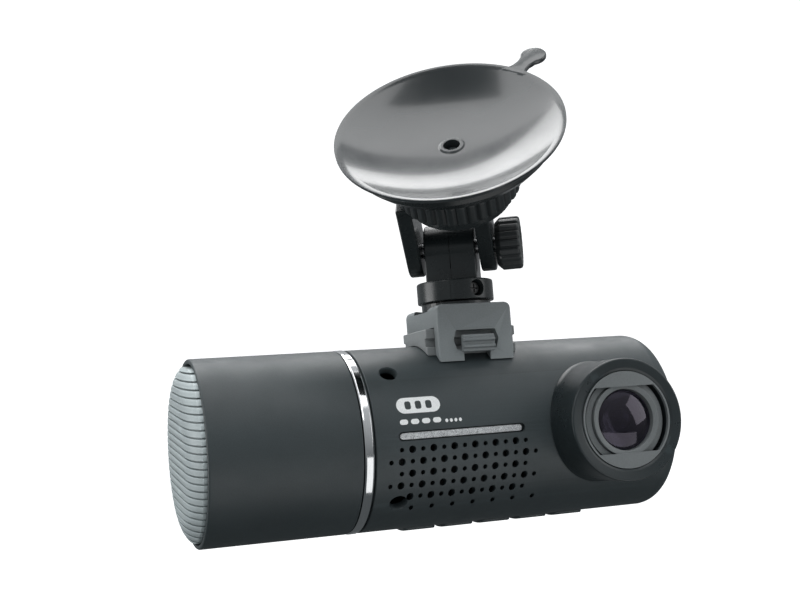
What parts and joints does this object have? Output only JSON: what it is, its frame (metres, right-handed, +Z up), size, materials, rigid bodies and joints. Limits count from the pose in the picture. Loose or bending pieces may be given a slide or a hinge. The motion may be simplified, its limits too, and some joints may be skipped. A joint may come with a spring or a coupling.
{
  "type": "dash camera",
  "caption": "Round twin-lens car camera with a turning barrel section, a clip-on panning and tilting arm and a suction cup.",
  "frame": {"origin": "the middle of the whole object's box, with the suction arm turned and tilted as stored", "axes": "+X along the round body towards its lens end, -Y the way the front lens looks, +Z up from the body to the mount"},
  "size_m": [0.1242, 0.0746, 0.1186],
  "materials": {
    "clear_rubber": "glossy soft rubber, dark translucent grey",
    "mount_black": "satin black moulded plastic",
    "grip_grey": "dark grey ribbed plastic",
    "steel": "plain steel",
    "clip_grey": "grey satin plastic",
    "body_black": "soft-touch dark grey coating",
    "gloss_black": "gloss black plastic",
    "chip_black": "matt black",
    "lens_glass": "coated lens glass, purple reflection",
    "circuit_green": "green circuit board",
    "cell_silver": "silver cell pouch",
    "strip_silver": "sparkling silver strip",
    "ring_chrome": "polished chrome",
    "ribbed_grey": "ribbed grey rubberised plastic"
  },
  "bodies": {
    "mount_base": {"suction_cup": "clear_rubber", "backing_dome": "mount_black", "fork": "mount_black", "clamp_bolt": "steel"},
    "cup_pin": {"cup_pin": "mount_black"},
    "lock_ring": {"twist_lock_ring": "grip_grey"},
    "clamp_knob": {"clamp_knob": "mount_black", "clamp_nut": "steel"},
    "stem": {"stem": "mount_black", "collar_screw": "steel"},
    "clip": {"clip_frame": "clip_grey", "pan_post": "mount_black"},
    "release_tab": {"release_tab": "clip_grey"},
    "camera": {"camera_rail": "clip_grey", "front_shell": "body_black", "rear_cover": "body_black", "display_window": "gloss_black", "display_panel": "chip_black", "lens_housing": "body_black", "lens_mask": "mount_black", "lens_barrel": "mount_black", "front_lens": "lens_glass", "sensor_board": "circuit_green", "main_board": "circuit_green", "battery": "cell_silver", "speaker": "chip_black", "microphone": "steel", "button_board": "circuit_green", "usb_socket": "steel", "card_slot": "steel", "status_strip": "strip_silver", "chrome_ring": "ring_chrome", "swivel_plate": "mount_black", "friction_washer": "steel", "shell_screw_1": "steel", "shell_screw_2": "steel"},
    "barrel": {"barrel_shell": "body_black", "barrel_end_cap": "ribbed_grey", "cabin_bezel": "gloss_black", "cabin_lens_barrel": "mount_black", "cabin_lens": "lens_glass", "cabin_board": "circuit_green", "swivel_shaft": "mount_black", "retaining_ring": "steel", "ir_lamp_1": "gloss_black", "ir_lamp_2": "gloss_black", "ir_lamp_3": "gloss_black", "ir_lamp_4": "gloss_black"},
    "memory_card": {"memory_card": "chip_black"},
    "button_1": {"button_1": "body_black"},
    "button_2": {"button_2": "body_black"},
    "button_3": {"button_3": "body_black"},
    "button_4": {"button_4": "body_black"},
    "button_5": {"button_5": "body_black"}
  },
  "joints": [
    {"name": "lock_turn", "type": "hinge", "parent": "mount_base", "child": "lock_ring", "pos_m": [0.00169, -0.01625, 0.03604], "axis": [-0.3484, -0.6498, 0.6756], "range_deg": [0, 60]},
    {"name": "pin_draw", "type": "slide", "parent": "mount_base", "child": "cup_pin", "axis": [0.3484, 0.6498, -0.6756], "range_m": [0, 0.002]},
    {"name": "knob_turn", "type": "hinge", "parent": "mount_base", "child": "clamp_knob", "pos_m": [0.0106, 0.0101, 0.01091], "axis": [0.8813, -0.4726, 0], "range_deg": [0, 360]},
    {"name": "mount_tilt", "type": "hinge", "parent": "mount_base", "child": "stem", "pos_m": [0.0106, 0.0101, 0.01091], "axis": [0.8813, -0.4726, 0], "range_deg": [-32.5, 77.5]},
    {"name": "mount_pan", "type": "hinge", "parent": "stem", "child": "clip", "pos_m": [0.0106, 0.0101, -0.00119], "axis": [0, 0, 1], "range_deg": [-180, 180]},
    {"name": "release_press", "type": "slide", "parent": "clip", "child": "release_tab", "axis": [0, 0, -1], "range_m": [0, 0.0018], "stiffness_N_per_m": 500},
    {"name": "camera_slide", "type": "slide", "parent": "clip", "child": "camera", "axis": [1, 0, 0], "range_m": [0, 0.024]},
    {"name": "barrel_turn", "type": "hinge", "parent": "camera", "child": "barrel", "pos_m": [-0.042, 0.0131, -0.03619], "axis": [1, 0, 0], "range_deg": [-175, 175]},
    {"name": "card_slide", "type": "slide", "parent": "camera", "child": "memory_card", "axis": [1, 0, 0], "range_m": [0, 0.012]},
    {"name": "button_1_press", "type": "slide", "parent": "camera", "child": "button_1", "axis": [0, 0, 1], "range_m": [0, 0.0006], "stiffness_N_per_m": 500},
    {"name": "button_2_press", "type": "slide", "parent": "camera", "child": "button_2", "axis": [0, 0, 1], "range_m": [0, 0.0006], "stiffness_N_per_m": 500},
    {"name": "button_3_press", "type": "slide", "parent": "camera", "child": "button_3", "axis": [0, 0, 1], "range_m": [0, 0.0006], "stiffness_N_per_m": 500},
    {"name": "button_4_press", "type": "slide", "parent": "camera", "child": "button_4", "axis": [0, 0, 1], "range_m": [0, 0.0006], "stiffness_N_per_m": 500},
    {"name": "button_5_press", "type": "slide", "parent": "camera", "child": "button_5", "axis": [0, 0, 1], "range_m": [0, 0.0006], "stiffness_N_per_m": 500}
  ],
  "couplings": [
    {"joint": "pin_draw", "follows": "lock_turn", "m_per_rad": 0.0019}
  ]
}
